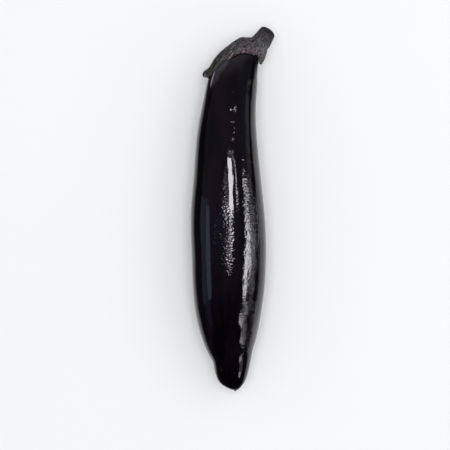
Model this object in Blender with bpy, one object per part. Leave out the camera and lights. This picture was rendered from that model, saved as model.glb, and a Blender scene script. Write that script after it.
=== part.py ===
"""A long eggplant lying on its belly: the grown fruit, and the leafy calyx with the cut stub of its stem.

The blossom end points along -Y, the stem end along +Y, and the table is the plane Z = 0.
Lengths are in millimetres until each mesh is written in metres.
"""

import math

import bmesh
import bpy
import numpy as np

METRE = 0.001
UP = np.array((0.0, 0.0, 1.0))

# Moves the whole object so that the origin is under the middle of its box.
CENTRING = np.array((0.123, -0.232, 0.0))

# Sections of the fruit from the blossom end to the stem end, each square to its middle line:
# how far along, how far aside, how high the middle line is there, and the radius.
FRUIT_SECTIONS = np.array(
    (
        (-124.5, 0.0, 22.5, 0.0),
        (-120.5, 0.0, 22.5, 7.8),
        (-112.0, -0.5, 22.5, 11.7),
        (-104.0, -0.5, 22.8, 13.5),
        (-95.5, -1.2, 23.2, 16.7),
        (-83.0, -2.0, 24.0, 20.5),
        (-62.5, -2.7, 25.1, 24.3),
        (-29.5, -2.3, 26.0, 26.2),
        (-4.5, -3.2, 25.4, 26.0),
        (20.5, -3.5, 25.7, 23.7),
        (53.5, -3.7, 25.8, 20.6),
        (78.5, -1.0, 25.2, 18.2),
        (95.0, 2.5, 24.7, 16.3),
        (105.0, 7.2, 24.6, 12.2),
        (111.0, 10.4, 24.5, 8.2),
        (116.0, 14.0, 24.4, 0.0),
    )
)
FRUIT_AROUND = 40
FRUIT_RINGS = 48
SWELL_HEIGHT = 0.12

# The corky scar at the blossom end: it stands proud, a little to one side of the nose.
NUB_RINGS = (0.0, 0.45, 0.8, 1.1, 1.5, 2.4)
NUB_RADIUS = 1.1
NUB_HEIGHT = 0.8
NUB_ASIDE = 2.0

# The rim of the calyx: the angle round the fruit in degrees, 0 to the side, 90 on top, and how far
# the leaf reaches over the skin from the stem end. Lobes and the bays between them take turns.
CALYX_RIM = np.array(
    (
        (0.0, 17.0),
        (30.0, 13.0),
        (68.0, 13.5),
        (90.0, 15.0),
        (110.0, 20.0),
        (122.0, 25.0),
        (134.0, 30.8),
        (146.0, 35.0),
        (157.0, 38.5),
        (168.0, 37.0),
        (180.0, 31.0),
        (205.0, 18.0),
        (235.0, 27.0),
        (265.0, 16.0),
        (300.0, 24.0),
        (332.0, 12.5),
    )
)
CALYX_AROUND = 64
LOBE_ROWS = 18
CALYX_GAP = 0.35
ROOT_REACH = 8.5
ROOT_THICKNESS = 2.0
RIM_THICKNESS = 1.1
SIDE_THICKNESS = (4.3, 0.9)

# The dried tip of the longest lobe is a narrow ribbon that curls off the skin and back to it:
# how far along the ribbon, then how far along the skin and how far off it.
CURL_ANGLE = 177.2
CURL_WIDTH = 7.5
CURL_START = 30.5
CURL_THICKNESS = 0.8
CURL_PATH = np.array(
    (
        (-3.0, -3.0, 0.0),
        (0.0, 0.0, 0.0),
        (1.2, 1.2, 0.1),
        (3.0, 2.8, 0.7),
        (4.8, 4.1, 1.9),
        (6.7, 5.6, 3.1),
        (7.8, 6.6, 3.3),
        (8.9, 7.4, 2.7),
        (10.0, 7.7, 1.8),
        (11.0, 7.6, 0.8),
        (12.0, 7.5, 0.4),
    )
)

# The stem stub: where its middle line leaves the calyx, its slant to the side and its rise in degrees.
STEM_FOOT = np.array((19.8, 115.9, 25.3))
STEM_SLANT = 37.0
STEM_RISE = 24.0
STEM_LENGTH = 9.8
STEM_FOOT_RADIUS = 6.8
STEM_END_RADIUS = 5.75
RIDGES = 5
RIDGE_HEIGHT = 0.35


def natural_spline(knots, values):
    """A smooth curve through the values, as a function of the place along the knots."""
    count = len(knots)
    step = np.diff(knots)
    slope = np.diff(values, axis=0) / step[:, None]
    matrix = np.eye(count)
    right = np.zeros_like(values)
    for i in range(1, count - 1):
        matrix[i, i - 1 : i + 2] = step[i - 1], 2 * (step[i - 1] + step[i]), step[i]
        right[i] = 6 * (slope[i] - slope[i - 1])
    bend = np.linalg.solve(matrix, right)

    def curve(places):
        places = np.asarray(places, float)
        i = np.clip(np.searchsorted(knots, places) - 1, 0, count - 2)
        span = step[i][..., None]
        a = (knots[i + 1] - places)[..., None]
        b = (places - knots[i])[..., None]
        return (
            (bend[i] * a**3 + bend[i + 1] * b**3) / (6 * span)
            + (values[i] / span - bend[i] * span / 6) * a
            + (values[i + 1] / span - bend[i + 1] * span / 6) * b
        )

    return curve


def running_length(points):
    steps = np.linalg.norm(np.diff(points, axis=0), axis=1)
    return np.concatenate(((0.0,), np.cumsum(steps)))


def smooth_step(value):
    value = np.clip(value, 0.0, 1.0)
    return value * value * (3 - 2 * value)


def unit(vectors):
    return vectors / np.linalg.norm(vectors, axis=-1, keepdims=True)


CENTRES = FRUIT_SECTIONS[:, (1, 0, 2)]
AXIS_PLACES = running_length(CENTRES)
middle_line = natural_spline(AXIS_PLACES, CENTRES)

# The outline runs on past each end as its own mirror image, so that both ends come out round.
OUTLINE = np.column_stack((AXIS_PLACES, FRUIT_SECTIONS[:, 3]))
OUTLINE_PLACES = running_length(OUTLINE)
OUTLINE_LENGTH = OUTLINE_PLACES[-1]
MIRRORED = OUTLINE * (1, -1)
outline = natural_spline(
    np.concatenate(
        (-OUTLINE_PLACES[2:0:-1], OUTLINE_PLACES, 2 * OUTLINE_LENGTH - OUTLINE_PLACES[-2:-4:-1])
    ),
    np.concatenate((MIRRORED[2:0:-1], OUTLINE, MIRRORED[-2:-4:-1])),
)


def skin(place, angle):
    """Points of the fruit's skin: the place along its outline from the blossom end, the angle round it."""
    place, angle = np.broadcast_arrays(place, angle)
    run = outline(place)
    axis_place, radius = run[..., 0], run[..., 1]
    centre = middle_line(axis_place)
    along = unit(middle_line(axis_place + 0.1) - middle_line(axis_place - 0.1))
    side = unit(np.cross(along, UP))
    top = np.cross(side, along)
    swell = np.sin(2 * angle + 0.045 * place) + np.sin(3 * angle - 0.07 * place + 1.0)
    swell = swell + np.sin(0.11 * place + angle)
    radius = radius + SWELL_HEIGHT * swell * smooth_step(radius / 12) * 0.6
    at_nose = place < OUTLINE_LENGTH / 2
    aside = NUB_ASIDE * (1 - smooth_step(radius / 8)) * at_nose
    proud = NUB_HEIGHT * (1 - smooth_step((radius - 0.4) / (NUB_RADIUS - 0.4))) * at_nose
    round_it = np.cos(angle)[..., None] * side + np.sin(angle)[..., None] * top
    return centre + radius[..., None] * round_it + aside[..., None] * side - proud[..., None] * along


def facing(surface, place, angle):
    """Outward directions of a surface given as a function of a place along it and an angle round it."""
    along = surface(place + 0.05, angle) - surface(place - 0.05, angle)
    around = surface(place, angle + 0.002) - surface(place, angle - 0.002)
    return unit(np.cross(along, around))


def fruit_rows():
    share = np.linspace(0, 1, FRUIT_RINGS)
    share = 0.5 * share + 0.25 * (1 - np.cos(math.pi * share))
    start = 4.0
    places = np.concatenate((NUB_RINGS, start + (OUTLINE_LENGTH - start) * share))
    angles = 2 * math.pi * np.arange(FRUIT_AROUND) / FRUIT_AROUND
    return skin(places[:, None], angles[None, :])


def cap_skin(reach, angle):
    """The skin again, measured as a reach from the stem end."""
    return skin(OUTLINE_LENGTH - reach, angle)


def cap_facing(reach, angle):
    return -facing(cap_skin, np.maximum(reach, 0.3), angle)


def rim_reach(angle, ribbon=1):
    """How far the calyx reaches at this angle, with the ribbon of the curled tip or without it."""
    degrees = np.degrees(angle) % 360
    once = CALYX_RIM
    laps = np.concatenate((once - (360, 0), once, once + (360, 0)))
    reach = natural_spline(laps[:, 0], laps[:, 1:])(degrees)[..., 0]
    away = (degrees - CURL_ANGLE) / CURL_WIDTH
    tip = CURL_START + CURL_PATH[-1, 0]
    return reach + ribbon * np.maximum(tip - reach, 0) * np.exp(-(away**2))


curl = natural_spline(CURL_PATH[:, 0], CURL_PATH[:, 1:])


def to_side(angle):
    """1 on the side that the stem leans to, falling to 0 a quarter turn away."""
    return np.maximum(np.cos(angle), 0) ** 2


def curl_share(angle):
    away = (np.degrees(angle) % 360 - CURL_ANGLE) / (1.4 * CURL_WIDTH)
    return np.exp(-(away**4))


def leaf_thickness(reach, angle):
    share = np.clip((reach - ROOT_REACH) / (rim_reach(angle) - ROOT_REACH), 0, 1)
    root = ROOT_THICKNESS + SIDE_THICKNESS[0] * to_side(angle)
    rim = RIM_THICKNESS + SIDE_THICKNESS[1] * to_side(angle)
    thick = root + (rim - root) * share ** (0.6 + 0.5 * to_side(angle))
    thick = thick + RIDGE_HEIGHT * (1 - share) * np.cos(RIDGES * angle)
    drying = curl_share(angle) * smooth_step((reach - CURL_START) / 3)
    return thick + (CURL_THICKNESS - thick) * drying


def leaf(reach, angle):
    """The middle surface of the calyx's leaf."""
    reach, angle = np.broadcast_arrays(reach, angle)
    ribbon = curl_share(angle)
    past = np.maximum(reach - CURL_START, -3.0)
    path = curl(past)
    laid = reach + ribbon * (path[..., 0] - past)
    off = CALYX_GAP + leaf_thickness(reach, angle) / 2 + ribbon * path[..., 1]
    return cap_skin(laid, angle) + off[..., None] * cap_facing(laid, angle)


def leaf_face(reach, angle, half):
    """The outer face of the leaf for half = 0.5, its inner face for -0.5, its middle for 0."""
    reach, angle = np.broadcast_arrays(reach, angle)
    thick = leaf_thickness(reach, angle)
    return leaf(reach, angle) - (half * thick)[..., None] * facing(leaf, reach, angle)


def stem_frame():
    slant, rise = math.radians(STEM_SLANT), math.radians(STEM_RISE)
    axis = np.array(
        (math.sin(slant) * math.cos(rise), math.cos(slant) * math.cos(rise), math.sin(rise))
    )
    side = unit(np.cross(axis, UP))
    return axis, side, np.cross(side, axis)


def stem_row(height, radius, angles):
    axis, side, top = stem_frame()
    ridge = 1 - smooth_step(height / STEM_LENGTH)
    radius = radius + RIDGE_HEIGHT * ridge * np.cos(RIDGES * angles)
    round_it = np.cos(angles)[:, None] * side + np.sin(angles)[:, None] * top
    return STEM_FOOT + height * axis + radius[:, None] * round_it


def calyx_rows():
    angles = 2 * math.pi * np.arange(CALYX_AROUND) / CALYX_AROUND
    ones = np.ones(CALYX_AROUND)
    rows = []
    # The cut face, slightly domed, and its worn edge.
    for share, drop in ((0.0, 0.0), (0.4, 0.15), (0.72, 0.5), (0.9, 1.1), (0.98, 1.8)):
        rows.append(stem_row(STEM_LENGTH - drop, share * STEM_END_RADIUS * ones, angles))
    for share in (0.75, 0.5, 0.25, 0.0):
        radius = STEM_FOOT_RADIUS + (STEM_END_RADIUS - STEM_FOOT_RADIUS) * share
        rows.append(stem_row((STEM_LENGTH - 2.6) * share, radius * ones, angles))
    # The flare from the stem into the cap.
    foot = rows[-1]
    root = leaf_face(ROOT_REACH, angles, 0.5)
    onward = unit(leaf_face(ROOT_REACH + 0.5, angles, 0.5) - root)
    handle = 0.4 * np.linalg.norm(root - foot, axis=1, keepdims=True)
    first, second = foot - stem_frame()[0] * handle, root - onward * handle
    for share in (0.18, 0.36, 0.54, 0.7, 0.86):
        rest = 1 - share
        rows.append(
            rest**3 * foot
            + 3 * rest**2 * share * first
            + 3 * rest * share**2 * second
            + share**3 * root
        )
    # The leaf, out to its rounded rim and back over the skin.
    plain, rims = rim_reach(angles, ribbon=0), rim_reach(angles)
    reaches = [
        ROOT_REACH + (plain - ROOT_REACH) * (1 - (1 - share) ** 1.8) + (rims - plain) * share**2
        for share in np.linspace(0, 1, LOBE_ROWS)
    ]
    rows.extend(leaf_face(reach, angles, 0.5) for reach in reaches)
    tip = facing_along(rims, angles)
    rows.append(leaf(rims, angles) + 0.35 * RIM_THICKNESS * tip)
    rows.extend(leaf_face(reach, angles, -0.5) for reach in reversed(reaches))
    for reach in (6.0, 3.0, 0.0):
        out = cap_facing(reach * ones, angles)
        rows.append(cap_skin(reach, angles) + CALYX_GAP * out)
    rows[-1][:] = rows[-1].mean(axis=0)
    return np.array(rows)


def facing_along(reach, angle):
    return unit(leaf(reach, angle) - leaf(reach - 0.2, angle))


def flatten_underside(mesh):
    """Cuts the belly level at the table and closes the cut with one flat face."""
    everything = mesh.verts[:] + mesh.edges[:] + mesh.faces[:]
    bmesh.ops.bisect_plane(
        mesh, geom=everything, dist=1e-6, plane_co=(0, 0, 0), plane_no=(0, 0, 1), clear_inner=True
    )
    rim = [edge for edge in mesh.edges if edge.is_boundary]
    bmesh.ops.holes_fill(mesh, edges=rim, sides=0)


def material(name, colour, roughness):
    made = bpy.data.materials.new(name)
    made.use_nodes = True
    shader = made.node_tree.nodes["Principled BSDF"]
    shader.inputs["Base Color"].default_value = (*colour, 1.0)
    shader.inputs["Roughness"].default_value = roughness
    shader.inputs["Metallic"].default_value = 0.0
    return made


def grown_body(name, rows, collection, finish, flat=False):
    """A closed body: a sphere's rings, one for each row of points."""
    count, around = rows.shape[:2]
    mesh = bmesh.new()
    bmesh.ops.create_uvsphere(mesh, u_segments=around, v_segments=count - 1, radius=1.0)
    for vert in mesh.verts:
        ring = round(math.acos(max(-1.0, min(1.0, vert.co.z))) / math.pi * (count - 1))
        turn = round(math.atan2(vert.co.y, vert.co.x) / (2 * math.pi) * around) % around
        vert.co = (rows[ring, turn] + CENTRING) * METRE
    if flat:
        flatten_underside(mesh)
    if mesh.calc_volume(signed=True) < 0:
        bmesh.ops.reverse_faces(mesh, faces=mesh.faces)
    data = bpy.data.meshes.new(name)
    mesh.to_mesh(data)
    mesh.free()
    data.materials.append(finish)
    data.shade_smooth()
    data.set_sharp_from_angle(angle=math.radians(50))
    body = bpy.data.objects.new(name, data)
    collection.objects.link(body)
    return body


def main():
    for old in list(bpy.data.objects):
        bpy.data.objects.remove(old)
    collection = bpy.data.collections.new("eggplant")
    bpy.context.scene.collection.children.link(collection)
    skin_finish = material("skin_gloss", (0.006, 0.0045, 0.008), 0.12)
    calyx_finish = material("calyx_matt", (0.07, 0.06, 0.062), 0.75)
    grown_body("fruit", fruit_rows(), collection, skin_finish, flat=True)
    grown_body("calyx_and_stem", calyx_rows(), collection, calyx_finish)


if __name__ == "__main__":
    main()
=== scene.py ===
"""The looks of a long eggplant on a pale table: glossy skin, felted calyx, soft studio light."""

import math

import bpy
import numpy as np
from mathutils import Matrix, Vector, noise


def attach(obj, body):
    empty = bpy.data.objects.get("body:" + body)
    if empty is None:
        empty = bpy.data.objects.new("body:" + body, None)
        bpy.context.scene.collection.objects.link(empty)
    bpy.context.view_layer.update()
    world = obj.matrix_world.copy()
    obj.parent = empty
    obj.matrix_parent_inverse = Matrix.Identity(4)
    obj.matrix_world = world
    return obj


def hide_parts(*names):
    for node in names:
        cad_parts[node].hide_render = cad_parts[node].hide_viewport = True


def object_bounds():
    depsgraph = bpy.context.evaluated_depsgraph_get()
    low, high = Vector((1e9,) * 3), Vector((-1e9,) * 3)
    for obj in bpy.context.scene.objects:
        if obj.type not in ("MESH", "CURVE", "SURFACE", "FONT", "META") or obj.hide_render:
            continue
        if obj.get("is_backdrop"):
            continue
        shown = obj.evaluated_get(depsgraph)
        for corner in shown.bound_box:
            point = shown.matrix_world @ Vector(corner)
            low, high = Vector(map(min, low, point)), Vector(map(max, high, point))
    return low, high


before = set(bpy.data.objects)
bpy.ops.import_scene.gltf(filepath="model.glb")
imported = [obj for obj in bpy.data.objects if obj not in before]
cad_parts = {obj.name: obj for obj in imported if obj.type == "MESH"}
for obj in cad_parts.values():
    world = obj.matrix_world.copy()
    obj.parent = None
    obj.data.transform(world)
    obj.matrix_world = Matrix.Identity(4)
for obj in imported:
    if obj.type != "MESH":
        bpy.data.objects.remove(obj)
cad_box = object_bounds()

METRE = 0.001
UP = np.array((0.0, 0.0, 1.0))

# The main form is the solid's own, from the same named values. Lengths are in millimetres.
CENTRING = np.array((0.123, -0.232, 0.0))

# Along, aside, height of the middle line, radius.
FRUIT_SECTIONS = np.array(
    (
        (-124.5, 0.0, 22.5, 0.0),
        (-120.5, 0.0, 22.5, 7.8),
        (-112.0, -0.5, 22.5, 11.7),
        (-104.0, -0.5, 22.8, 13.5),
        (-95.5, -1.2, 23.2, 16.7),
        (-83.0, -2.0, 24.0, 20.5),
        (-62.5, -2.7, 25.1, 24.3),
        (-29.5, -2.3, 26.0, 26.2),
        (-4.5, -3.2, 25.4, 26.0),
        (20.5, -3.5, 25.7, 23.7),
        (53.5, -3.7, 25.8, 20.6),
        (78.5, -1.0, 25.2, 18.2),
        (95.0, 2.5, 24.7, 16.3),
        (105.0, 7.2, 24.6, 12.2),
        (111.0, 10.4, 24.5, 8.2),
        (116.0, 14.0, 24.4, 0.0),
    )
)
SWELL_HEIGHT = 0.12
NUB_RADIUS = 1.1
NUB_HEIGHT = 0.8
NUB_ASIDE = 2.0

# Angle round the fruit in degrees, reach of the calyx from the stem end.
CALYX_RIM = np.array(
    (
        (0.0, 17.0),
        (30.0, 13.0),
        (68.0, 13.5),
        (90.0, 15.0),
        (110.0, 20.0),
        (122.0, 25.0),
        (134.0, 30.8),
        (146.0, 35.0),
        (157.0, 38.5),
        (168.0, 37.0),
        (180.0, 31.0),
        (205.0, 18.0),
        (235.0, 27.0),
        (265.0, 16.0),
        (300.0, 24.0),
        (332.0, 12.5),
    )
)
CALYX_GAP = 0.35
ROOT_REACH = 8.5
ROOT_THICKNESS = 2.0
RIM_THICKNESS = 1.1
SIDE_THICKNESS = (4.3, 0.9)
CURL_ANGLE = 177.2
CURL_WIDTH = 7.5
CURL_START = 30.5
CURL_THICKNESS = 0.8
CURL_PATH = np.array(
    (
        (-3.0, -3.0, 0.0),
        (0.0, 0.0, 0.0),
        (1.2, 1.2, 0.1),
        (3.0, 2.8, 0.7),
        (4.8, 4.1, 1.9),
        (6.7, 5.6, 3.1),
        (7.8, 6.6, 3.3),
        (8.9, 7.4, 2.7),
        (10.0, 7.7, 1.8),
        (11.0, 7.6, 0.8),
        (12.0, 7.5, 0.4),
    )
)

# The stem: where it starts, its slant to the right and its rise in degrees, its length, its radii
# and the lengthwise ridges that it shares with the calyx.
STEM_FOOT = np.array((19.8, 115.9, 25.3))
STEM_SLANT = 37.0
STEM_RISE = 24.0
STEM_LENGTH = 9.8
STEM_FOOT_RADIUS = 6.8
STEM_END_RADIUS = 5.75
RIDGES = 5
RIDGE_HEIGHT = 0.35

# The cut end of the stem: shares of its radius with the drop below its middle there, the drop at
# its worn edge, and how far the very middle is sunk.
CUT_DOME = ((0.0, 0.0), (0.4, 0.15), (0.72, 0.5), (0.9, 1.1), (0.98, 1.8))
EDGE_DROP = 2.6
CUT_SUNK = 0.35

# How far the dressed skin lies below the solid's, so that no wave of it leaves the solid's box.
SKIN_SINK = 0.03
BODY_SINK = 0.08
# Waves of the skin: height, size, seed, and a scale along the fruit, under 1 to draw them out.
SKIN_WAVES = ((0.10, 9.0, 3.1, 0.45), (0.03, 3.4, 7.7, 0.7))
# The puckered ring round the blossom end: its radius, width, height and number of folds.
PUCKER_RADIUS, PUCKER_WIDTH, PUCKER_HEIGHT, PUCKERS = 2.2, 1.3, 0.10, 11
# Small lumps of the neck: along, degrees round the fruit, height, length, width.
NECK_LUMPS = (
    (80.8, 86.0, 0.085, 1.3, 1.6),
    (71.0, 76.5, 0.36, 3.8, 2.2),
    (69.0, 87.5, 0.21, 2.0, 1.3),
    (60.2, 81.0, 0.13, 1.4, 3.0),
    (55.9, 76.0, 0.19, 1.1, 0.9),
    (52.8, 76.0, 0.16, 1.1, 0.9),
    (48.6, 79.0, 0.09, 1.5, 3.4),
)
# A crease raised beside the calyx's longest lobe and coloured pale as a painted highlight: along
# and degrees, half length, half width in degrees, height.
CREASE = (89.5, 143.5)
CREASE_HALF_LENGTH, CREASE_HALF_WIDTH, CREASE_HEIGHT = 5.0, 1.6, 0.25
# Where a faint bloom makes the gloss speckled: strength, along, degrees, half length, half width
# in degrees.
BLOOM_PATCHES = (
    (0.9, -23.0, 97.0, 20.0, 15.0),
    (0.8, 0.0, 101.0, 22.0, 8.0),
    (0.35, -20.0, 58.0, 56.0, 14.0),
    (0.55, -20.0, 49.0, 34.0, 9.0),
    (0.8, -81.0, 48.0, 18.0, 14.0),
)
# The side of the fruit where a painted reflection pales the skin beside the calyx: degrees, half
# width.
REFLECTION_SIDE, REFLECTION_HALF_WIDTH = 132, 17
# How much further the calyx reaches over the top of the fruit than its solid does, and the
# degrees between which that starts and ends.
RIM_GROWTH, GROWTH_FROM, GROWTH_TO = 1.2, 35.0, 116.0
# Teeth and notches of the calyx rim: degrees round the fruit, spread in degrees, height.
RIM_TEETH = ((119.0, 3.6, 1.7), (127.5, 2.6, -1.4), (138.0, 6.0, 0.7))
# Ridges, lumps and felt of the calyx: their heights, and how far all of it is sunk.
FELT_HEIGHTS = (0.20, 0.14, 0.10)
FELT_SINK = 0.12
# How much darker than the rest the stem, the left lobe and the curled tip are.
STEM_SHADE, LOBE_SHADE, CURL_SHADE = 0.36, 0.38, 0.25
# A painted highlight on the calyx: aside, along and least height, and its half width and length.
HIGHLIGHT_SPOT = np.array((21.6, 110.5, 20.0))
HIGHLIGHT_SPOT_REACH = (1.7, 2.6)

# How finely the looks are meshed.
SKIN_AROUND, SKIN_ALONG = 256, 376
CALYX_AROUND, LEAF_ROWS = 400, 84

# The camera's sensor, in millimetres as cameras are given.
SENSOR_WIDTH = 36.0

# From here on lengths are in metres. The height of the middle of the fruit, the camera's height
# over it and its place aside and along, and the width of the picture there.
MIDDLE_HEIGHT = 0.025
CAMERA_HEIGHT = 1.2
CAMERA_PLACE = (-0.0050, -0.0109)
VIEW_WIDTH = 0.3099

# How far the strip lights stand from the middle of the fruit, and the degrees right of the zenith
# at which they stand.
LAMP_DISTANCE = 0.5
ABOVE, RIGHT, FAR_RIGHT, LEFT = 8.0, 57.0, 72.0, -70.0
LAMP_WHITE = (0.97, 0.96, 1.0)

# The table's half width and how far it lies below the fruit, and the mirrored ceiling's radius.
TABLE_HALF_WIDTH = 4
TABLE_DROP = 5e-5
CEILING_RADIUS = 3.0
# Half the width and half the length of the fruit's outline, round which the mirrored table is pale.
FOOTPRINT = (0.027, 0.124)


def natural_spline(knots, values):
    """A smooth curve through the values, as a function of the place along the knots."""
    count = len(knots)
    step = np.diff(knots)
    slope = np.diff(values, axis=0) / step[:, None]
    matrix = np.eye(count)
    right = np.zeros_like(values)
    for i in range(1, count - 1):
        matrix[i, i - 1 : i + 2] = step[i - 1], 2 * (step[i - 1] + step[i]), step[i]
        right[i] = 6 * (slope[i] - slope[i - 1])
    bend = np.linalg.solve(matrix, right)

    def curve(places):
        places = np.asarray(places, float)
        i = np.clip(np.searchsorted(knots, places) - 1, 0, count - 2)
        span = step[i][..., None]
        a = (knots[i + 1] - places)[..., None]
        b = (places - knots[i])[..., None]
        return (
            (bend[i] * a**3 + bend[i + 1] * b**3) / (6 * span)
            + (values[i] / span - bend[i] * span / 6) * a
            + (values[i + 1] / span - bend[i + 1] * span / 6) * b
        )

    return curve


def running_length(points):
    steps = np.linalg.norm(np.diff(points, axis=0), axis=1)
    return np.concatenate(((0.0,), np.cumsum(steps)))


def smooth_step(value):
    value = np.clip(value, 0.0, 1.0)
    return value * value * (3 - 2 * value)


def unit(vectors):
    length = np.linalg.norm(vectors, axis=-1, keepdims=True)
    return vectors / np.maximum(length, 1e-12)


CENTRES = FRUIT_SECTIONS[:, (1, 0, 2)]
AXIS_PLACES = running_length(CENTRES)
middle_line = natural_spline(AXIS_PLACES, CENTRES)
OUTLINE = np.column_stack((AXIS_PLACES, FRUIT_SECTIONS[:, 3]))
OUTLINE_PLACES = running_length(OUTLINE)
OUTLINE_LENGTH = OUTLINE_PLACES[-1]
MIRRORED = OUTLINE * (1, -1)
outline = natural_spline(
    np.concatenate(
        (-OUTLINE_PLACES[2:0:-1], OUTLINE_PLACES, 2 * OUTLINE_LENGTH - OUTLINE_PLACES[-2:-4:-1])
    ),
    np.concatenate((MIRRORED[2:0:-1], OUTLINE, MIRRORED[-2:-4:-1])),
)


def skin(place, angle):
    """Points of the skin, at a place along its outline from the blossom end and an angle."""
    place, angle = np.broadcast_arrays(place, angle)
    run = outline(place)
    axis_place, radius = run[..., 0], run[..., 1]
    centre = middle_line(axis_place)
    along = unit(middle_line(axis_place + 0.1) - middle_line(axis_place - 0.1))
    side = unit(np.cross(along, UP))
    top = np.cross(side, along)
    swell = np.sin(2 * angle + 0.045 * place) + np.sin(3 * angle - 0.07 * place + 1.0)
    swell = swell + np.sin(0.11 * place + angle)
    radius = radius + SWELL_HEIGHT * swell * smooth_step(radius / 12) * 0.6
    at_nose = place < OUTLINE_LENGTH / 2
    aside = NUB_ASIDE * (1 - smooth_step(radius / 8)) * at_nose
    proud = NUB_HEIGHT * (1 - smooth_step((radius - 0.4) / (NUB_RADIUS - 0.4))) * at_nose
    round_it = np.cos(angle)[..., None] * side + np.sin(angle)[..., None] * top
    point = centre + radius[..., None] * round_it + aside[..., None] * side
    return point - proud[..., None] * along


def facing(surface, place, angle):
    """Outward directions of a surface, a function of a place along it and an angle round it."""
    along = surface(place + 0.05, angle) - surface(place - 0.05, angle)
    around = surface(place, angle + 0.002) - surface(place, angle - 0.002)
    return unit(np.cross(along, around))


def cap_skin(reach, angle):
    """The skin again, measured as a reach from the stem end."""
    return skin(OUTLINE_LENGTH - reach, angle)


def cap_facing(reach, angle):
    return -facing(cap_skin, np.maximum(reach, 0.3), angle)


def rim_reach(angle, ribbon=1):
    """How far the calyx reaches at this angle, with or without the ribbon of the curled tip."""
    degrees = np.degrees(angle) % 360
    once = CALYX_RIM
    laps = np.concatenate((once - (360, 0), once, once + (360, 0)))
    reach = natural_spline(laps[:, 0], laps[:, 1:])(degrees)[..., 0]
    away = (degrees - CURL_ANGLE) / CURL_WIDTH
    tip = CURL_START + CURL_PATH[-1, 0]
    return reach + ribbon * np.maximum(tip - reach, 0) * np.exp(-(away**2))


curl = natural_spline(CURL_PATH[:, 0], CURL_PATH[:, 1:])


def to_side(angle):
    return np.maximum(np.cos(angle), 0) ** 2


def curl_share(angle):
    away = (np.degrees(angle) % 360 - CURL_ANGLE) / (1.4 * CURL_WIDTH)
    return np.exp(-(away**4))


def leaf_thickness(reach, angle):
    share = np.clip((reach - ROOT_REACH) / (rim_reach(angle) - ROOT_REACH), 0, 1)
    root = ROOT_THICKNESS + SIDE_THICKNESS[0] * to_side(angle)
    rim = RIM_THICKNESS + SIDE_THICKNESS[1] * to_side(angle)
    thick = root + (rim - root) * share ** (0.6 + 0.5 * to_side(angle))
    thick = thick + RIDGE_HEIGHT * (1 - share) * np.cos(RIDGES * angle)
    drying = curl_share(angle) * smooth_step((reach - CURL_START) / 3)
    return thick + (CURL_THICKNESS - thick) * drying


def leaf(reach, angle):
    """The middle surface of the calyx's leaf."""
    reach, angle = np.broadcast_arrays(reach, angle)
    ribbon = curl_share(angle)
    past = np.maximum(reach - CURL_START, -3.0)
    path = curl(past)
    laid = reach + ribbon * (path[..., 0] - past)
    off = CALYX_GAP + leaf_thickness(reach, angle) / 2 + ribbon * path[..., 1]
    return cap_skin(laid, angle) + off[..., None] * cap_facing(laid, angle)


def leaf_face(reach, angle, half):
    """The outer face of the leaf for half = 0.5, its inner face for -0.5, its middle for 0."""
    reach, angle = np.broadcast_arrays(reach, angle)
    thick = leaf_thickness(reach, angle)
    return leaf(reach, angle) - (half * thick)[..., None] * facing(leaf, reach, angle)


def stem_frame():
    slant, rise = math.radians(STEM_SLANT), math.radians(STEM_RISE)
    axis = np.array(
        (math.sin(slant) * math.cos(rise), math.cos(slant) * math.cos(rise), math.sin(rise))
    )
    side = unit(np.cross(axis, UP))
    return axis, side, np.cross(side, axis)


def stem_row(height, radius, angles):
    axis, side, top = stem_frame()
    ridge = 1 - smooth_step(height / STEM_LENGTH)
    radius = radius + RIDGE_HEIGHT * ridge * np.cos(RIDGES * angles)
    round_it = np.cos(angles)[:, None] * side + np.sin(angles)[:, None] * top
    return STEM_FOOT + height * axis + radius[:, None] * round_it


def rough(points, size, seed=0.0):
    """Smooth noise from -1 to 1 at each point, its lumps about this size in millimetres."""
    flat = np.reshape(points, (-1, 3)) / size + seed
    values = np.array([noise.noise(point) for point in flat.tolist()])
    return values.reshape(np.shape(points)[:-1])


def row_facing(rows):
    """Directions square to a closed grid of rows, outward where they run from stem to rim."""
    along = np.gradient(rows, axis=0)
    around = np.roll(rows, -1, axis=1) - np.roll(rows, 1, axis=1)
    return unit(np.cross(around, along))


def grown_mesh(name, rows, values, material):
    """A closed mesh over rows of points, whose first and last rows are single points."""
    count, around = rows.shape[:2]
    inner = rows[1:-1].reshape(-1, 3)
    points = np.concatenate((rows[0, :1], inner, rows[-1, :1])) + CENTRING
    points[:, 2] = np.maximum(points[:, 2], 0.0)
    last = len(points) - 1
    turn = np.arange(around)
    after = (turn + 1) % around
    faces = [(0, 1 + b, 1 + a) for a, b in zip(turn.tolist(), after.tolist())]
    for row in range(count - 3):
        here, there = 1 + row * around, 1 + (row + 1) * around
        quads = np.column_stack((here + turn, here + after, there + after, there + turn))
        faces.extend(map(tuple, quads.tolist()))
    end = 1 + (count - 3) * around
    faces.extend((last, end + a, end + b) for a, b in zip(turn.tolist(), after.tolist()))
    mesh = bpy.data.meshes.new(name)
    mesh.from_pydata((points * METRE).tolist(), [], faces)
    for key, grid in values.items():
        kind, field = ("FLOAT_VECTOR", "vector") if grid.ndim == 3 else ("FLOAT", "value")
        middle = grid[1:-1].reshape(-1, *grid.shape[2:])
        flat = np.concatenate((grid[0, :1], middle, grid[-1, :1]))
        layer = mesh.attributes.new(key, kind, "POINT")
        layer.data.foreach_set(field, flat.astype(np.float32).ravel())
    centres, normals, areas = (np.zeros(len(mesh.polygons) * n) for n in (3, 3, 1))
    mesh.polygons.foreach_get("center", centres)
    mesh.polygons.foreach_get("normal", normals)
    mesh.polygons.foreach_get("area", areas)
    if ((centres * normals).reshape(-1, 3).sum(axis=1) * areas).sum() < 0:
        mesh.flip_normals()
    mesh.materials.append(material)
    mesh.shade_smooth()
    piece = bpy.data.objects.new(name, mesh)
    bpy.context.scene.collection.objects.link(piece)
    return piece


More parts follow.
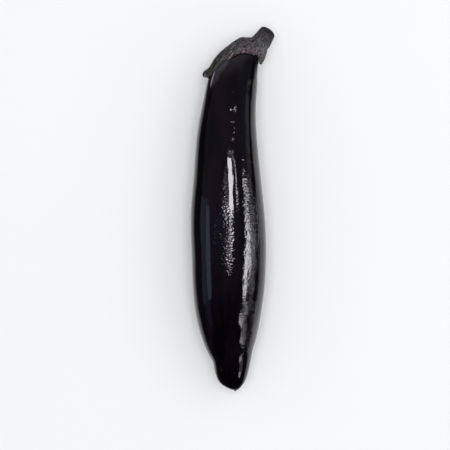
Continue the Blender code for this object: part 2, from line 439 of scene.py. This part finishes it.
class Nodes:
    """A small helper that adds nodes to a material and joins them."""

    def __init__(self, tree):
        self.tree = tree

    def add(self, kind, sockets=(), **settings):
        node = self.tree.nodes.new("ShaderNode" + kind)
        for key, value in settings.items():
            setattr(node, key, value)
        for key, value in dict(sockets).items():
            self.put(node.inputs[key], value)
        return node

    def put(self, socket, value):
        if isinstance(value, bpy.types.NodeSocket):
            self.tree.links.new(value, socket)
        else:
            socket.default_value = value

    def attribute(self, name, output="Fac"):
        return self.add("Attribute", attribute_name=name).outputs[output]

    def math(self, operation, first, second=0.0, third=0.0, clamp=False):
        sockets = {0: first, 1: second, 2: third}
        return self.add("Math", sockets, operation=operation, use_clamp=clamp).outputs[0]

    def noise(self, vector, scale, detail=2.0, roughness=0.5):
        sockets = {"Vector": vector, "Scale": scale, "Detail": detail, "Roughness": roughness}
        return self.add("TexNoise", sockets).outputs["Fac"]

    def stretched(self, vector, scale):
        return self.add("Mapping", {"Vector": vector, "Scale": scale}).outputs[0]

    def ramp(self, value, low, high, to_low=0.0, to_high=1.0):
        sockets = {"Value": value, 1: low, 2: high, 3: to_low, 4: to_high}
        node = self.add("MapRange", sockets, interpolation_type="SMOOTHSTEP")
        return node.outputs[0]

    def mix(self, share, first, second, blend="MIX"):
        node = self.add("Mix", data_type="RGBA", blend_type=blend)
        self.put(node.inputs["Factor"], share)
        self.put(node.inputs[6], first)
        self.put(node.inputs[7], second)
        return node.outputs[2]


def new_material(name):
    material = bpy.data.materials.new(name)
    material.use_nodes = True
    nodes = Nodes(material.node_tree)
    return material, nodes, material.node_tree.nodes["Principled BSDF"]


def skin_material():
    """Nearly black purple under a waxy gloss, with grain, a pale margin beside the calyx that is
    partly painted reflection, and a crease painted pale as a highlight.
    """
    deep, warm = (0.0008, 0.0005, 0.0011, 1.0), (0.0046, 0.0021, 0.0046, 1.0)
    margin_and_reflection_colour, crease_highlight_colour = (0.052, 0.043, 0.058, 1.0), (0.42, 0.40, 0.42, 1.0)
    cork_dark, cork_pale = (0.004, 0.003, 0.003, 1.0), (0.34, 0.31, 0.28, 1.0)
    material, nodes, shader = new_material("skin_gloss_look")
    where = nodes.add("TexCoord").outputs["Object"]
    millimetres = nodes.stretched(where, (1000.0, 1000.0, 1000.0))
    lengthwise = nodes.stretched(where, (1000.0, 160.0, 1000.0))
    pale_margin_and_reflection, scar, bloom, crease_and_highlight = (
        nodes.attribute(name) for name in ("pale_margin_and_reflection", "scar", "bloom", "crease_and_highlight")
    )

    blotches = nodes.noise(lengthwise, 0.09, 3.0, 0.6)
    fine = nodes.noise(millimetres, 0.9, 3.0, 0.6)
    colour = nodes.mix(nodes.ramp(blotches, 0.35, 0.7), deep, warm)
    # The pale margin beside the calyx: the skin's own paler colour all round, and a painted
    # reflection on one side.
    pale = nodes.math("MULTIPLY", pale_margin_and_reflection, nodes.ramp(fine, 0.2, 0.7, 0.55, 1.0))
    colour = nodes.mix(pale, colour, margin_and_reflection_colour)
    corky = nodes.mix(nodes.ramp(fine, 0.5, 0.6), cork_dark, cork_pale)
    colour = nodes.mix(scar, colour, corky)
    # Painted highlight: the crease is coloured pale.
    colour = nodes.mix(nodes.math("MULTIPLY", crease_and_highlight, 0.9), colour, crease_highlight_colour)
    nodes.put(shader.inputs["Base Color"], colour)

    dull = nodes.noise(lengthwise, 0.16, 4.0, 0.6)
    roughness = nodes.ramp(dull, 0.3, 0.75, 0.035, 0.07)
    for share, more in ((pale_margin_and_reflection, 0.25), (scar, 0.6), (bloom, 0.01), (crease_and_highlight, 0.4)):
        roughness = nodes.math("MULTIPLY_ADD", share, more, roughness)
    specks = nodes.ramp(nodes.noise(millimetres, 0.8, 1.0, 0.5), 0.48, 0.60)
    dusty = nodes.math("MULTIPLY_ADD", bloom, 0.85, nodes.ramp(dull, 0.35, 0.65, 0.0, 0.12))
    dust = nodes.math("MULTIPLY", specks, dusty)
    roughness = nodes.math("MULTIPLY_ADD", dust, 0.09, roughness)
    nodes.put(shader.inputs["Roughness"], roughness)
    shader.inputs["IOR"].default_value = 1.42

    pits = nodes.add("TexVoronoi", {"Vector": millimetres, "Scale": 0.8}, feature="SMOOTH_F1")
    pit_depth = nodes.ramp(pits.outputs["Distance"], 0.0, 0.5)
    ripple = nodes.noise(lengthwise, 0.3, 1.0, 0.5)
    grain = nodes.noise(nodes.stretched(where, (650.0, 1000.0, 800.0)), 1.0, 0.5)
    pitting = nodes.math("MULTIPLY_ADD", bloom, 0.05, 0.004)
    height = nodes.math("MULTIPLY", pit_depth, pitting)
    height = nodes.math("MULTIPLY_ADD", ripple, 0.05, height)
    graining = nodes.math("MULTIPLY_ADD", bloom, 0.42, 0.012)
    height = nodes.math("MULTIPLY_ADD", grain, graining, height)
    bump = nodes.add("Bump", {"Height": height, "Strength": 1.0, "Distance": METRE})
    nodes.put(shader.inputs["Normal"], bump.outputs[0])
    return material


def calyx_material():
    """Grey-brown felt with a purple tinge, lengthwise fibres, pale scurf and a dried cut end; its
    tone adds painted shade and a painted highlight.
    """
    furrow, felt, dull_felt = (
        (0.010, 0.008, 0.009, 1.0),
        (0.086, 0.070, 0.080, 1.0),
        (0.058, 0.047, 0.053, 1.0),
    )
    olive_colour, rose_colour = (0.050, 0.053, 0.030, 1.0), (0.084, 0.040, 0.053, 1.0)
    gap_colour, fleck_colour = (0.004, 0.003, 0.004, 1.0), (0.27, 0.25, 0.26, 1.0)
    bark_dark, bark_pale = (0.016, 0.012, 0.012, 1.0), (0.050, 0.040, 0.036, 1.0)
    pith_dark, pith_pale = (0.016, 0.013, 0.012, 1.0), (0.055, 0.047, 0.042, 1.0)
    material, nodes, shader = new_material("calyx_felt_look")
    where = nodes.add("TexCoord").outputs["Object"]
    millimetres = nodes.stretched(where, (1000.0, 1000.0, 1000.0))
    fibre = nodes.attribute("fibre", "Vector")
    rose, green, cut, ring, tone = (
        nodes.attribute(name) for name in ("rose", "green", "cut", "ring", "tone")
    )

    strands = nodes.noise(fibre, 1.0, 2.0, 0.6)
    hairs = nodes.noise(fibre, 2.2, 1.0, 0.5)
    mottle = nodes.noise(millimetres, 0.22, 3.0, 0.6)
    scurf = nodes.noise(millimetres, 0.75, 1.0, 0.6)
    dots = nodes.noise(millimetres, 1.05, 1.0, 0.6)

    colour = nodes.mix(nodes.ramp(strands, 0.3, 0.7), furrow, felt)
    colour = nodes.mix(nodes.ramp(mottle, 0.35, 0.7, 0.0, 0.5), colour, dull_felt)
    olive = nodes.math("MULTIPLY", green, nodes.ramp(mottle, 0.3, 0.6, 0.5, 1.0))
    colour = nodes.mix(olive, colour, olive_colour)
    colour = nodes.mix(nodes.math("MULTIPLY", rose, 0.8), colour, rose_colour)
    colour = nodes.mix(nodes.ramp(scurf, 0.50, 0.40, 0.0, 0.9), colour, gap_colour)
    scales = nodes.ramp(scurf, 0.58, 0.68, 0.0, 0.7)
    flecks = nodes.math("MAXIMUM", scales, nodes.ramp(dots, 0.60, 0.68, 0.0, 0.7))
    flecks = nodes.math("MAXIMUM", flecks, nodes.ramp(hairs, 0.54, 0.66))
    flecks = nodes.math("MULTIPLY", flecks, nodes.ramp(strands, 0.38, 0.6, 0.3, 0.85))
    colour = nodes.mix(flecks, colour, fleck_colour)
    bark = nodes.mix(nodes.ramp(dots, 0.3, 0.7), bark_dark, bark_pale)
    pith = nodes.mix(nodes.ramp(dots, 0.3, 0.7), pith_dark, pith_pale)
    face = nodes.mix(nodes.ramp(ring, 0.45, 0.8), pith, bark)
    colour = nodes.mix(cut, colour, face)
    # Painted shade: the felt darkens where it turns away toward its outline.
    edge = nodes.add("LayerWeight", {"Blend": 0.35}).outputs["Facing"]
    tone = nodes.math("MULTIPLY", tone, nodes.ramp(edge, 0.55, 1.0, 1.0, 0.45))
    colour = nodes.mix(1.0, colour, tone, "MULTIPLY")
    nodes.put(shader.inputs["Base Color"], colour)
    nodes.put(shader.inputs["Roughness"], nodes.ramp(scurf, 0.3, 0.8, 0.62, 0.9))
    shader.inputs["Specular IOR Level"].default_value = 0.3

    height = nodes.math("MULTIPLY_ADD", strands, 0.7, nodes.math("MULTIPLY", scurf, 0.8))
    bump = nodes.add("Bump", {"Height": height, "Strength": 1.0, "Distance": METRE})
    nodes.put(shader.inputs["Normal"], bump.outputs[0])
    return material


def patch(along, degrees, centre, half_length, half_width):
    """A soft patch of the skin, its centre given as millimetres along and degrees round it."""
    turn = (degrees - centre[1] + 180) % 360 - 180
    away = ((along - centre[0]) / half_length) ** 4 + (turn / half_width) ** 4
    return np.exp(-away)


def dress_fruit():
    # Rows lie closer at both ends, and closest of all on the nub.
    share = np.linspace(0, 1, SKIN_ALONG)
    share = 0.6 * share + 0.2 * (1 - np.cos(math.pi * share))
    start = 3.0
    places = np.concatenate(
        (np.linspace(0, start, 16)[:-1], start + (OUTLINE_LENGTH - start) * share)
    )[:, None]
    angles = (2 * math.pi * np.arange(SKIN_AROUND) / SKIN_AROUND)[None, :]
    degrees = np.degrees(angles)
    rows = skin(places, angles)
    out = facing(skin, np.clip(places, 0.3, OUTLINE_LENGTH - 0.3), angles)
    radius = np.broadcast_to(outline(places)[..., 1], rows.shape[:2])
    body = smooth_step((radius - 1.0) / 6.0)
    relief = sum(
        height * rough(rows * (1, drawn, 1), size, seed) for height, size, seed, drawn in SKIN_WAVES
    )
    pucker = np.exp(-(((radius - PUCKER_RADIUS) / PUCKER_WIDTH) ** 2))
    pucker = pucker * (places < OUTLINE_LENGTH / 2)
    relief = relief * body - BODY_SINK * body - SKIN_SINK
    relief = relief + PUCKER_HEIGHT * pucker * np.cos(PUCKERS * angles + 0.6)
    along = rows[..., 1]
    for place, degree, height, length, width in NECK_LUMPS:
        across = np.radians((degrees - degree + 180) % 360 - 180) * radius
        lump = np.exp(-(((along - place) / length) ** 2) - (across / width) ** 2)
        relief = relief + height * lump
    # The crease is raised in the skin; the material also paints it pale as a highlight.
    turn = (degrees - CREASE[1]) / CREASE_HALF_WIDTH
    crease_and_highlight = np.exp(-(turn**2) - ((along - CREASE[0]) / CREASE_HALF_LENGTH) ** 4)
    relief = relief + CREASE_HEIGHT * crease_and_highlight
    rows = rows + relief[..., None] * out

    # The margin beside the calyx: pale all round as the skin is, and on one side a painted
    # reflection.
    past_rim = OUTLINE_LENGTH - places - rim_reach(angles, ribbon=0)
    reflection_side = patch(0 * degrees, degrees, (0, REFLECTION_SIDE), 1, REFLECTION_HALF_WIDTH)
    fading = (past_rim + rough(rows, 3.0) * 4.0 - 1.0) / (8.0 + 7.0 * reflection_side)
    pale_margin_and_reflection = (0.08 + 0.92 * reflection_side) * (1 - smooth_step(fading))
    bloom = sum(
        strength * patch(along, degrees, (place, degree), half_length, half_width)
        for strength, place, degree, half_length, half_width in BLOOM_PATCHES
    )
    bloom = np.clip(bloom * (0.9 + 0.7 * rough(rows * (1, 0.4, 1), 4.0, 1.7)), 0, 1)
    scar = (1 - smooth_step((radius - 1.0) / 2.0)) * (places < OUTLINE_LENGTH / 2)
    values = {"pale_margin_and_reflection": pale_margin_and_reflection, "scar": scar, "bloom": bloom, "crease_and_highlight": crease_and_highlight}
    piece = grown_mesh("eggplant_skin", rows, values, skin_material())
    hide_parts("fruit")
    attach(piece, "root")


def dress_calyx():
    angles = 2 * math.pi * np.arange(CALYX_AROUND) / CALYX_AROUND
    ones = np.ones(CALYX_AROUND)
    rows, reach_rows, cut_rows, ring_rows, outer = [], [], [], [], []

    def add(row, reach, out=0.0, cut=0.0, ring=1.0):
        rows.append(row)
        reach_rows.append(reach * ones)
        cut_rows.append(cut * ones)
        ring_rows.append(ring * ones)
        outer.append(out)

    # The cut end, with its drop from the middle to the worn edge.
    dome = natural_spline(np.array(CUT_DOME)[:, 0], np.array(CUT_DOME)[:, 1:])
    for share in np.linspace(0, 0.98, 24):
        drop = float(dome(np.array(share))[0]) if share else 0.0
        row = stem_row(STEM_LENGTH - drop, share * STEM_END_RADIUS * ones, angles)
        sunk = CUT_SUNK * float(np.exp(-((share / 0.3) ** 2)))
        face = 1 - float(smooth_step((share - 0.84) / 0.1))
        add(row - sunk * stem_frame()[0], -STEM_LENGTH, min(1.0, 2 * share), face, share)
    for share in np.linspace(0.94, 0.0, 28):
        radius = STEM_FOOT_RADIUS + (STEM_END_RADIUS - STEM_FOOT_RADIUS) * share
        row = stem_row((STEM_LENGTH - EDGE_DROP) * share, radius * ones, angles)
        add(row, -STEM_LENGTH * share, 1.0)

    # A smooth shoulder from the foot of the stem to the root of the leaf.
    foot = rows[-1]
    root = leaf_face(ROOT_REACH, angles, 0.5)
    onward = unit(leaf_face(ROOT_REACH + 0.5, angles, 0.5) - root)
    handle = 0.4 * np.linalg.norm(root - foot, axis=1, keepdims=True)
    first, second = foot - stem_frame()[0] * handle, root - onward * handle
    for share in np.linspace(0, 1, 26)[1:-1]:
        rest = 1 - share
        row = rest**3 * foot + 3 * rest**2 * share * first
        row = row + 3 * rest * share**2 * second + share**3 * root
        add(row, ROOT_REACH * share, 1.0)

    # The leaf's outer face, its rounded rim, its inner face, and the skin side under the stem.
    shares = np.linspace(0, 1, LEAF_ROWS)
    circle = np.column_stack((np.cos(angles), np.sin(angles), 0 * angles))
    ragged = 0.35 * rough(circle, 0.12, 5.3) + 0.25 * rough(circle, 0.05, 9.1)
    turned = np.degrees(angles)
    grown = RIM_GROWTH * smooth_step((turned - GROWTH_FROM) / 20.0)
    grown = grown * (1 - smooth_step((turned - GROWTH_TO) / 8.0))
    for degree, spread, height in RIM_TEETH:
        grown = grown + height * np.exp(-(((turned - degree) / spread) ** 2))
    plain = rim_reach(angles, ribbon=0) + (ragged + grown) * (1 - curl_share(angles))
    rims = plain + rim_reach(angles) - rim_reach(angles, ribbon=0)
    reaches = [
        ROOT_REACH + (plain - ROOT_REACH) * (1 - (1 - share) ** 1.8) + (rims - plain) * share**2
        for share in shares
    ]
    for reach in reaches:
        add(leaf_face(reach, angles, 0.5), reach, 1.0)
    tip = unit(leaf(rims, angles) - leaf(rims - 0.2, angles))
    edge = leaf(rims, angles)
    half = 0.5 * leaf_thickness(rims, angles)[:, None]
    lift = unit(rows[-1] - edge)
    for turn in (45.0, 90.0, 135.0):
        forward, upward = 0.7 * math.sin(math.radians(turn)), math.cos(math.radians(turn))
        add(edge + half * (forward * tip + upward * lift), rims, 0.3 if turn < 90 else 0.0)
    for reach in reversed(reaches):
        add(leaf_face(reach, angles, -0.5), reach)
    for reach in (6.0, 3.0, 0.0):
        add(cap_skin(reach, angles) + CALYX_GAP * cap_facing(reach * ones, angles), reach)
    rows[-1][:] = rows[-1].mean(axis=0)

    rows = np.array(rows)
    reach, ring = np.array(reach_rows), np.array(ring_rows)
    fibre = np.empty(rows.shape)
    fibre[..., 0], fibre[..., 1] = 12.0 * ring * np.cos(angles), 12.0 * ring * np.sin(angles)
    fibre[..., 2] = 0.14 * reach
    relief = FELT_HEIGHTS[0] * rough(fibre, 1.3, 2.2) + FELT_HEIGHTS[1] * rough(rows, 2.4, 6.0)
    relief = relief + FELT_HEIGHTS[2] * rough(rows, 1.1, 4.0)
    rows = rows - (np.array(outer)[:, None] * (FELT_SINK - relief))[..., None] * row_facing(rows)
    degrees = np.degrees(angles)[None, :] * np.ones_like(reach)
    left = np.exp(-(((degrees - 158) / 22) ** 2)) * smooth_step((reach - 14) / 8)
    right = np.exp(-((((degrees + 180) % 360 - 180) / 30) ** 2)) * smooth_step((reach - 11) / 4)
    green = np.clip(left + right, 0, 1)
    rose = (1 - smooth_step((rims - reach - 0.3) / 6.0)) * (1 - 0.9 * green)
    curled = curl_share(angles) * smooth_step((reach - CURL_START) / 4)
    tone = 0.86 + 0.03 * rose - STEM_SHADE * smooth_step(-reach / 8)
    tone = tone - LOBE_SHADE * left - CURL_SHADE * curled
    tone = tone + 4.0 * curled * np.maximum(rough(rows, 1.1, 3.0) - 0.12, 0)
    # Painted highlight: a pale spot on the calyx beside the stem's foot.
    highlight_spot = np.linalg.norm((rows - HIGHLIGHT_SPOT)[..., :2] / HIGHLIGHT_SPOT_REACH, axis=-1)
    tone = tone + 1.1 * np.exp(-(highlight_spot**2)) * (rows[..., 2] > HIGHLIGHT_SPOT[2])
    cut = np.array(cut_rows)
    values = {"fibre": fibre, "rose": rose, "green": green, "cut": cut, "ring": ring, "tone": tone}
    piece = grown_mesh("calyx_and_stem_felt", rows, values, calyx_material())
    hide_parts("calyx_and_stem")
    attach(piece, "root")


def floor():
    material, nodes, shader = new_material("pale_table")
    where = nodes.add("TexCoord").outputs["Object"]
    cloud = nodes.noise(where, 6.0, 3.0, 0.5)
    nodes.put(
        shader.inputs["Base Color"],
        nodes.mix(cloud, (0.885, 0.89, 0.90, 1.0), (0.905, 0.91, 0.915, 1.0)),
    )
    shader.inputs["Roughness"].default_value = 0.85
    shader.inputs["Specular IOR Level"].default_value = 0.0
    mesh = bpy.data.meshes.new("table_top")
    corners = [
        (aside * TABLE_HALF_WIDTH, along * TABLE_HALF_WIDTH, -TABLE_DROP)
        for aside, along in ((-1, -1), (1, -1), (1, 1), (-1, 1))
    ]
    mesh.from_pydata(corners, [], [(0, 1, 2, 3)])
    mesh.materials.append(material)
    top = bpy.data.objects.new("table_top", mesh)
    top.visible_glossy = False
    bpy.context.scene.collection.objects.link(top)
    top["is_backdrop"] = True


def lamp(name, degrees, aside, along, radiance, colour=LAMP_WHITE, turn=0.0):
    """A strip light that only the gloss shows, on a plane so many degrees right of the zenith.

    Its ranges aside and along are in metres on that plane, and turn leans it to the right.
    """
    data = bpy.data.lights.new(name, "AREA")
    data.shape = "RECTANGLE"
    data.size, data.size_y = aside[1] - aside[0], along[1] - along[0]
    data.energy = radiance * math.pi * data.size * data.size_y
    data.color = colour
    light = bpy.data.objects.new(name, data)
    lean = math.radians(degrees)
    right = np.array((math.cos(lean), 0.0, -math.sin(lean)))
    out = np.array((math.sin(lean), 0.0, math.cos(lean)))
    onward = np.array((0.0, 1.0, 0.0))
    place = (0.0, 0.0, MIDDLE_HEIGHT) + LAMP_DISTANCE * out
    place = place + sum(aside) / 2 * right + sum(along) / 2 * onward
    spin = Matrix.Rotation(math.radians(-turn), 4, "Z")
    columns = [(*axis, 0.0) for axis in (right, onward, out)] + [(*place, 1.0)]
    light.matrix_world = Matrix(columns).transposed() @ spin
    for ray in ("camera", "diffuse", "shadow"):
        setattr(light, "visible_" + ray, False)
    bpy.context.scene.collection.objects.link(light)


def soft_light(name, place, size, radiance):
    """A large square light over the table, which the gloss doesn't show."""
    data = bpy.data.lights.new(name, "AREA")
    data.shape = "SQUARE"
    data.size = size
    data.energy = radiance * math.pi * size**2
    light = bpy.data.objects.new(name, data)
    light.location = place
    light.rotation_euler = (-Vector(place)).to_track_quat("-Z", "Y").to_euler()
    light.visible_glossy = False
    light.visible_camera = False
    bpy.context.scene.collection.objects.link(light)


def only_mirrored(name, points, faces, material, shine=None):
    """Shows a surface in the gloss alone: it neither shades the table nor stands in a picture."""
    mesh = bpy.data.meshes.new(name)
    mesh.from_pydata(points, [], faces)
    mesh.materials.append(material)
    if shine is not None:
        mesh.attributes.new("shine", "FLOAT", "POINT").data.foreach_set("value", shine)
    card = bpy.data.objects.new(name, mesh)
    for ray in ("camera", "diffuse", "transmission", "volume_scatter", "shadow"):
        setattr(card, "visible_" + ray, False)
    bpy.context.scene.collection.objects.link(card)
    card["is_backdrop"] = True


def glow(name, colour_of):
    material = bpy.data.materials.new(name)
    material.use_nodes = True
    tree = material.node_tree
    tree.nodes.clear()
    nodes = Nodes(tree)
    light = nodes.add("Emission", {"Color": colour_of(nodes)})
    output = nodes.add("OutputMaterial")
    tree.links.new(light.outputs[0], output.inputs[0])
    return material


def rings_of_faces(rings, around):
    faces = []
    for ring in range(rings - 1):
        for turn in range(around):
            here, after = ring * around + turn, ring * around + (turn + 1) % around
            faces.append((here, after, after + around, here + around))
    return faces


def studio_cards():
    """A dim ceiling, and a table that is pale near the fruit and dark farther off."""

    def ceiling_colour(nodes):
        place = nodes.add("NewGeometry").outputs["Position"]
        axes = nodes.add("SeparateXYZ", {0: place}).outputs
        near = nodes.ramp(axes["Y"], -1.6, 0.4)
        colour = nodes.mix(near, (0.012, 0.011, 0.018, 1.0), (0.15, 0.14, 0.18, 1.0))
        return nodes.mix(nodes.ramp(axes["Y"], 1.0, 2.4), colour, (0.50, 0.46, 0.53, 1.0))

    around, rings = 48, 13
    points = []
    for ring in range(rings):
        lift = math.radians(90 - 90 * ring / (rings - 1))
        level, height = CEILING_RADIUS * math.cos(lift), CEILING_RADIUS * math.sin(lift)
        for turn in range(around):
            angle = 2 * math.pi * turn / around
            points.append((level * math.cos(angle), level * math.sin(angle), height))
    faces = rings_of_faces(rings, around)
    only_mirrored("dim_ceiling", points, faces, glow("ceiling_glow", ceiling_colour))

    def table_colour(nodes):
        far, near = (0.03, 0.03, 0.035, 1.0), (1.20, 1.20, 1.25, 1.0)
        return nodes.mix(nodes.attribute("shine"), far, near)

    around = 96
    turns = 2 * math.pi * np.arange(around) / around
    wide, long = FOOTPRINT
    edge = np.column_stack((wide * np.cos(turns), long * np.sin(turns)))
    outward = unit(np.column_stack((np.cos(turns) / wide, np.sin(turns) / long)))
    place = edge[:, 1] / long
    # The pale zone is narrow beyond both ends of the fruit, and wider to its right than its left.
    ends = smooth_step((np.abs(place) - np.where(place > 0, 0.60, 0.84)) / 0.18)
    pale = np.where(outward[:, 0] > 0, 0.125, 0.05) * (1 - ends) + 0.022 * ends
    level_of = np.where(outward[:, 0] > 0, 1.0, 0.75)
    points, shine = [], []
    offs = (-0.02, *np.arange(0.0, 0.03, 0.004), *np.arange(0.03, 0.17, 0.01), 0.2, 3.2)
    for off in offs:
        level = edge + off * outward
        points += [(float(x), float(y), 0.0) for x, y in level]
        shine += list(level_of * (1 - smooth_step((off / pale - 0.6) / 0.6)))
    faces = rings_of_faces(len(points) // around, around)
    only_mirrored("pale_table", points, faces, glow("table_glow", table_colour), shine)


def lighting():
    world = bpy.data.worlds.new("studio")
    bpy.context.scene.world = world
    world.use_nodes = True
    ground = world.node_tree.nodes["Background"]
    ground.inputs["Color"].default_value = (0.985, 0.99, 1.0, 1.0)
    ground.inputs["Strength"].default_value = 0.55
    soft_light("overhead_softbox", (0.0, 0.0, 1.7), 0.8, 6.7)
    soft_light("side_softbox", (0.75, 0.35, 1.0), 0.9, 0.85)
    lamp("strip_above", ABOVE, (-0.045, 0.066), (-0.008, 0.137), 22.0)
    lamp("strip_above_halo", ABOVE, (-0.130, 0.075), (-0.030, 0.105), 3.0)
    lamp("strip_above_tip", ABOVE, (0.100, 0.150), (0.139, 0.143), 16.0)
    lamp("strip_above_thin", ABOVE, (0.155, 0.188), (0.108, 0.136), 12.0)
    lamp("strip_above_dim", ABOVE, (-0.110, 0.01), (-0.060, -0.012), 4.5)
    lamp("strip_above_end", ABOVE, (-0.105, -0.01), (-0.090, -0.072), 26.0)
    lamp("strip_right", RIGHT, (-0.070, 0.032), (-0.198, 0.099), 18.0, turn=15.0)
    lamp("panel_right", FAR_RIGHT, (-0.05, 0.15), (-0.150, 0.080), 2.6)
    lamp("panel_right_back", FAR_RIGHT, (0.0, 0.2), (0.115, 0.15), 0.45)
    lamp("strip_front", RIGHT, (-0.14, -0.02), (-0.342, -0.318), 15.0)
    lamp("strip_front_low", RIGHT, (-0.05, 0.09), (-0.50, -0.42), 5.5)
    lamp("panel_front", RIGHT, (-0.06, 0.15), (-0.46, -0.22), 0.9)
    lamp("strip_front_long", RIGHT, (0.04, 0.10), (-0.45, -0.22), 6.0)
    lamp("panel_left", LEFT, (-0.01, 0.11), (-0.20, 0.070), 1.0, (0.50, 0.78, 0.90))
    lamp("panel_left_side", LEFT, (-0.215, -0.02), (-0.20, 0.070), 1.0, (0.13, 0.22, 0.34))
    lamp("panel_left_front", LEFT, (-0.12, 0.06), (-0.36, -0.20), 1.0, (0.07, 0.11, 0.16))


def camera():
    """Straight above, and far enough to see the sides nearly square."""
    data = bpy.data.cameras.new("main_view")
    data.lens = SENSOR_WIDTH * CAMERA_HEIGHT / VIEW_WIDTH
    data.clip_start, data.clip_end = 0.01, 20.0
    eye = bpy.data.objects.new("main_view", data)
    eye.location = (*CAMERA_PLACE, MIDDLE_HEIGHT + CAMERA_HEIGHT)
    bpy.context.scene.collection.objects.link(eye)
    bpy.context.scene.camera = eye


dress_fruit()
dress_calyx()
floor()
lighting()
studio_cards()
camera()
bpy.context.scene.view_settings.view_transform = "Standard"

boxes = {"cad": cad_box, "visual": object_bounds()}
boxes = {key: [list(map(float, corner)) for corner in box] for key, box in boxes.items()}
